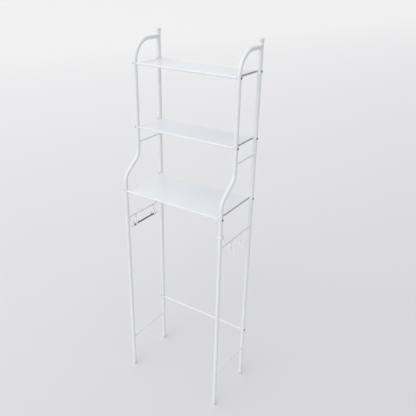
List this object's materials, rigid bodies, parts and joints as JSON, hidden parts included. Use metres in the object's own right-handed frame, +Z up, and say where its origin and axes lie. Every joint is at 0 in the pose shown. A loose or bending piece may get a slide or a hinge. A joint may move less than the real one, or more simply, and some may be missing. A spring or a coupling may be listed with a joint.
{
  "type": "over the toilet storage rack",
  "caption": "Free-standing white tubular rack that straddles a toilet, with shelves above, a hanging paper roll bar on the left side and plastic hooks on the right side.",
  "frame": {"origin": "on the floor, in the middle of the rectangle between the four legs", "axes": "+X to the right of a person facing the rack, -Y towards that person, +Z up"},
  "size_m": [0.4897, 0.2544, 1.53],
  "materials": {
    "white_paint": "glossy white powder coat on steel tube",
    "board": "smooth semi-gloss very pale blue-grey board",
    "white_plastic": "moulded white plastic with a faint lavender cast, semi-gloss",
    "dark_steel": "dark oxidised steel, satin",
    "zinc_steel": "bright zinc plate"
  },
  "bodies": {
    "frame": {"left_front_upper_tube": "white_paint", "left_rear_post": "white_paint", "left_front_leg": "white_paint", "left_rear_leg": "white_paint", "left_mid_rod": "white_paint", "left_low_rod": "white_paint", "left_bottom_rod": "white_paint", "left_joint_sleeves": "zinc_steel", "left_post_cap": "white_plastic", "left_front_foot": "white_plastic", "left_rear_foot": "white_plastic", "right_front_upper_tube": "white_paint", "right_rear_post": "white_paint", "right_front_leg": "white_paint", "right_rear_leg": "white_paint", "right_mid_rod": "white_paint", "right_low_rod": "white_paint", "right_bottom_rod": "white_paint", "right_joint_sleeves": "zinc_steel", "right_post_cap": "white_plastic", "right_front_foot": "white_plastic", "right_rear_foot": "white_plastic", "bottom_shelf_board": "board", "bottom_shelf_front_bar": "white_paint", "bottom_shelf_rear_bar": "white_paint", "bottom_shelf_bar_plugs": "zinc_steel", "bottom_shelf_bolts": "dark_steel", "middle_shelf_board": "board", "middle_shelf_front_bar": "white_paint", "middle_shelf_rear_bar": "white_paint", "middle_shelf_bar_plugs": "zinc_steel", "middle_shelf_bolts": "dark_steel", "top_shelf_board": "board", "top_shelf_front_bar": "white_paint", "top_shelf_rear_bar": "white_paint", "top_shelf_bar_plugs": "zinc_steel", "top_shelf_bolts": "dark_steel", "back_rail": "white_paint", "back_rail_bolts": "dark_steel"},
    "front_roll_hanger": {"front_roll_hanger": "white_plastic"},
    "rear_roll_hanger": {"rear_roll_hanger": "white_plastic"},
    "roll_bar": {"roll_bar": "dark_steel", "front_roll_knob": "white_plastic", "rear_roll_knob": "white_plastic"},
    "front_towel_hook": {"front_towel_hook": "white_plastic"},
    "rear_towel_hook": {"rear_towel_hook": "white_plastic"},
    "post_hook": {"post_hook": "white_plastic"}
  },
  "joints": [
    {"name": "front_hanger_swing", "type": "hinge", "parent": "frame", "child": "front_roll_hanger", "pos_m": [-0.227, -0.069, 0.792], "axis": [0, 1, 0], "range_deg": [-80, 80]},
    {"name": "rear_hanger_swing", "type": "hinge", "parent": "frame", "child": "rear_roll_hanger", "pos_m": [-0.227, 0.052, 0.792], "axis": [0, 1, 0], "range_deg": [-80, 80]},
    {"name": "roll_bar_spin", "type": "hinge", "parent": "front_roll_hanger", "child": "roll_bar", "pos_m": [-0.22738, -0.0065, 0.74317], "axis": [0, 1, 0], "continuous": true},
    {"name": "front_towel_hook_swing", "type": "hinge", "parent": "frame", "child": "front_towel_hook", "pos_m": [0.227, -0.03, 0.792], "axis": [0, 1, 0], "continuous": true},
    {"name": "rear_towel_hook_swing", "type": "hinge", "parent": "frame", "child": "rear_towel_hook", "pos_m": [0.227, 0.046, 0.792], "axis": [0, 1, 0], "continuous": true},
    {"name": "post_hook_swivel", "type": "hinge", "parent": "frame", "child": "post_hook", "pos_m": [0.227, -0.117, 0.843], "axis": [0, 0, 1], "continuous": true}
  ],
  "couplings": [
    {"joint": "rear_hanger_swing", "follows": "front_hanger_swing", "ratio": 1}
  ]
}
